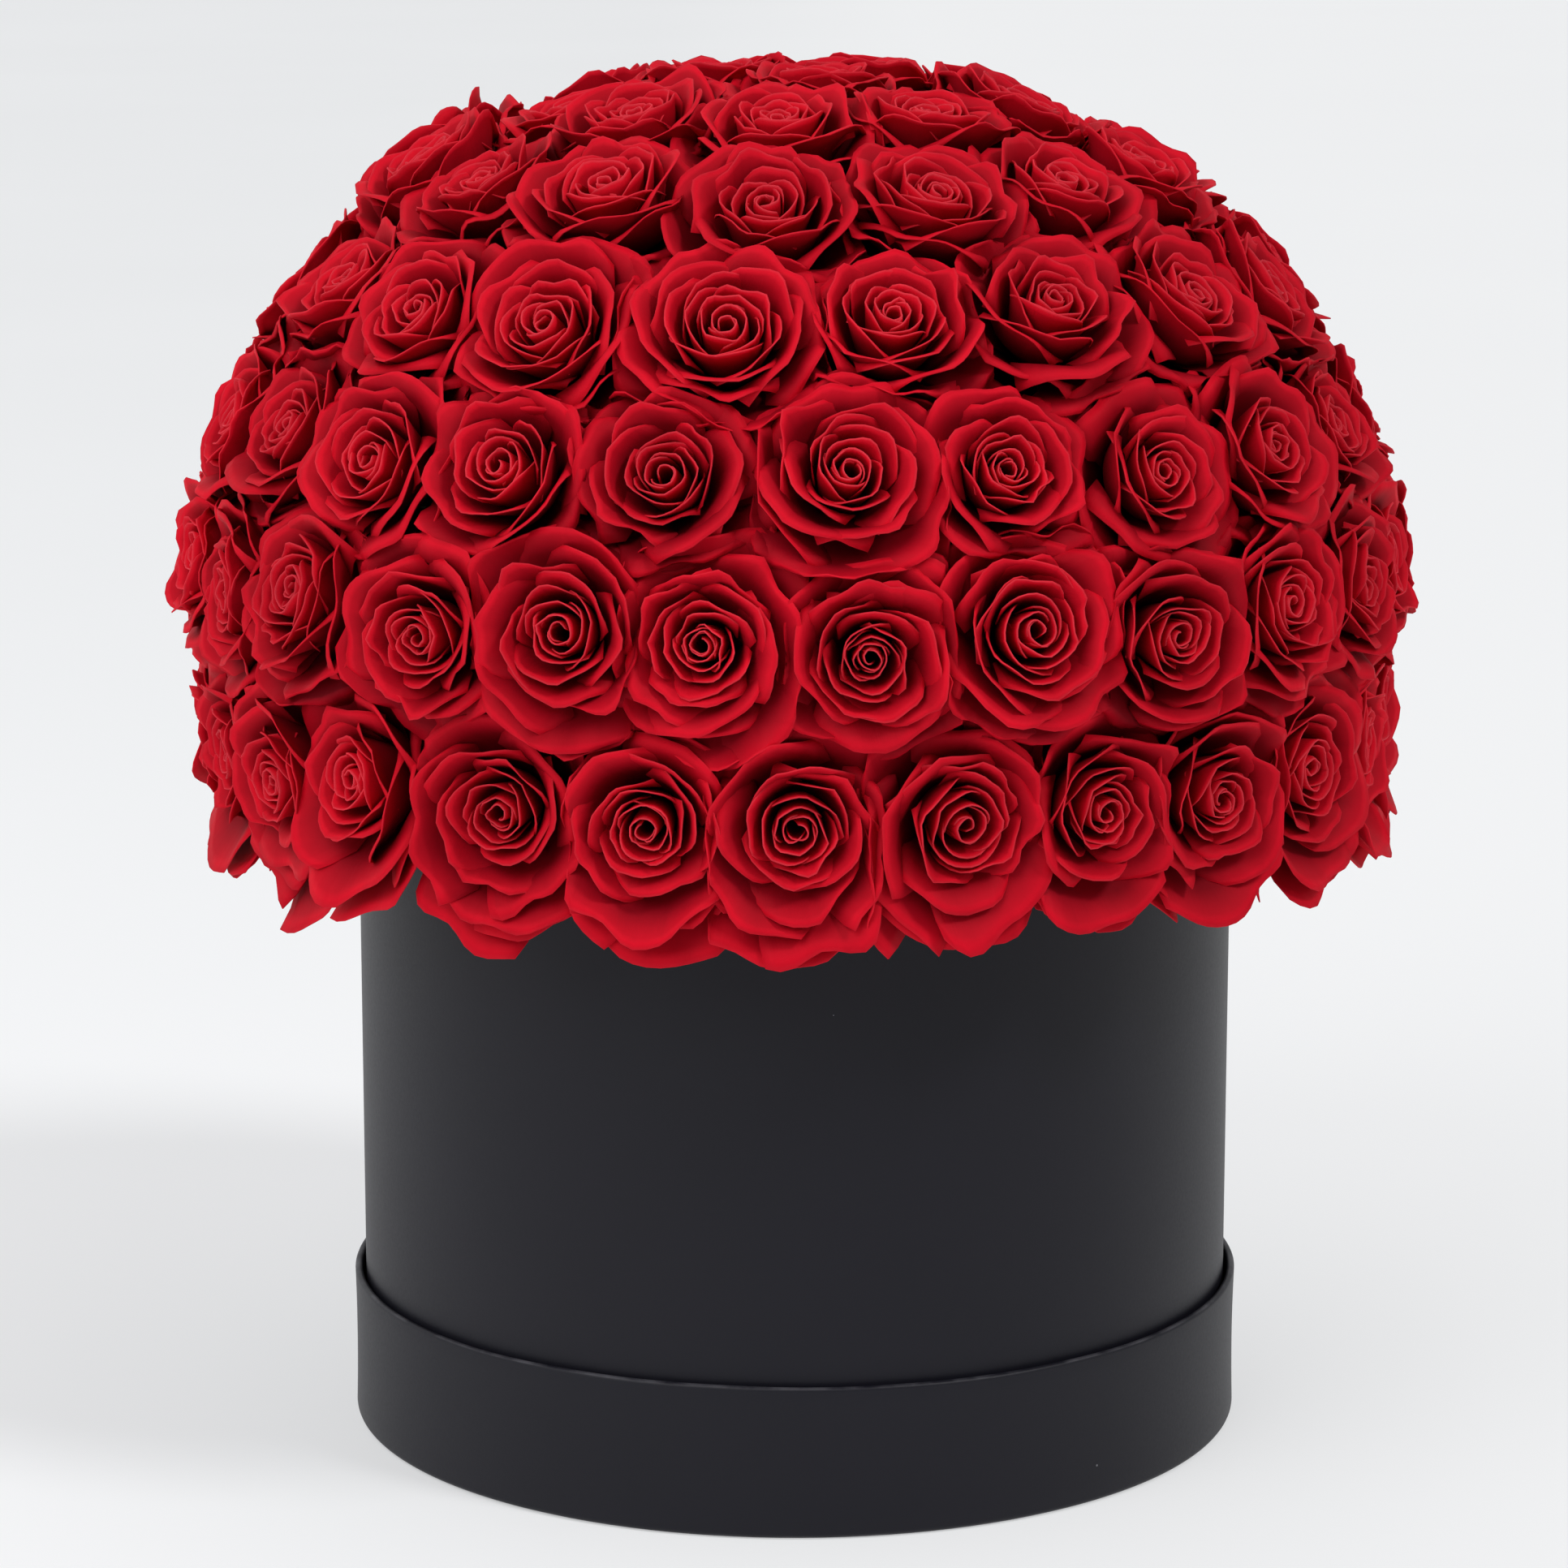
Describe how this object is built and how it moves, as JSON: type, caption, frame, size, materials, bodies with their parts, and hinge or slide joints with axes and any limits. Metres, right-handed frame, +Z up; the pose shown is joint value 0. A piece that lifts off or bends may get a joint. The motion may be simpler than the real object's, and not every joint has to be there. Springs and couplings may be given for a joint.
{
  "type": "flower box",
  "caption": "Round black paper-covered hat box standing in its upturned lid, filled with a high dome of red rose heads set in rows on a foam core.",
  "frame": {"origin": "on the floor under the middle of the lid", "axes": "+Z up, the front of the box faces -Y, +X to the right as seen from the front"},
  "size_m": [0.4244, 0.4237, 0.4677],
  "materials": {
    "black_paper": "smooth satin black covering paper",
    "lining_paper": "plain matt black lining paper",
    "greyboard": "unprinted grey board",
    "floral_foam": "fine-celled dry floral foam",
    "bamboo": "plain bamboo",
    "calyx": "dried green calyx",
    "rose_petal": "velvety red petal"
  },
  "bodies": {
    "lid": {"lid_panel_paper": "black_paper", "lid_panel": "greyboard", "lid_band": "greyboard", "lid_wrap": "black_paper", "lid_lining": "lining_paper"},
    "box": {"box_base_paper": "black_paper", "box_base": "greyboard", "box_tube": "greyboard", "box_wrap": "black_paper", "box_lining": "lining_paper", "foam_block": "floral_foam", "foam_dome": "floral_foam", "dome_skewers": "bamboo", "rose_blooms_row_1": "rose_petal", "rose_blooms_row_2": "rose_petal", "rose_blooms_row_3": "rose_petal", "rose_blooms_row_4": "rose_petal", "rose_blooms_row_5": "rose_petal", "rose_blooms_row_6": "rose_petal", "rose_blooms_row_7": "rose_petal", "rose_calyxes_row_1": "calyx", "rose_calyxes_row_2": "calyx", "rose_calyxes_row_3": "calyx", "rose_calyxes_row_4": "calyx", "rose_calyxes_row_5": "calyx", "rose_calyxes_row_6": "calyx", "rose_calyxes_row_7": "calyx", "rose_picks_row_1": "bamboo", "rose_picks_row_2": "bamboo", "rose_picks_row_3": "bamboo", "rose_picks_row_4": "bamboo", "rose_picks_row_5": "bamboo", "rose_picks_row_6": "bamboo", "rose_picks_row_7": "bamboo"}
  },
  "joints": [
    {"name": "box_lift", "type": "slide", "parent": "lid", "child": "box", "axis": [0, 0, 1], "range_m": [0, 0.06]}
  ]
}
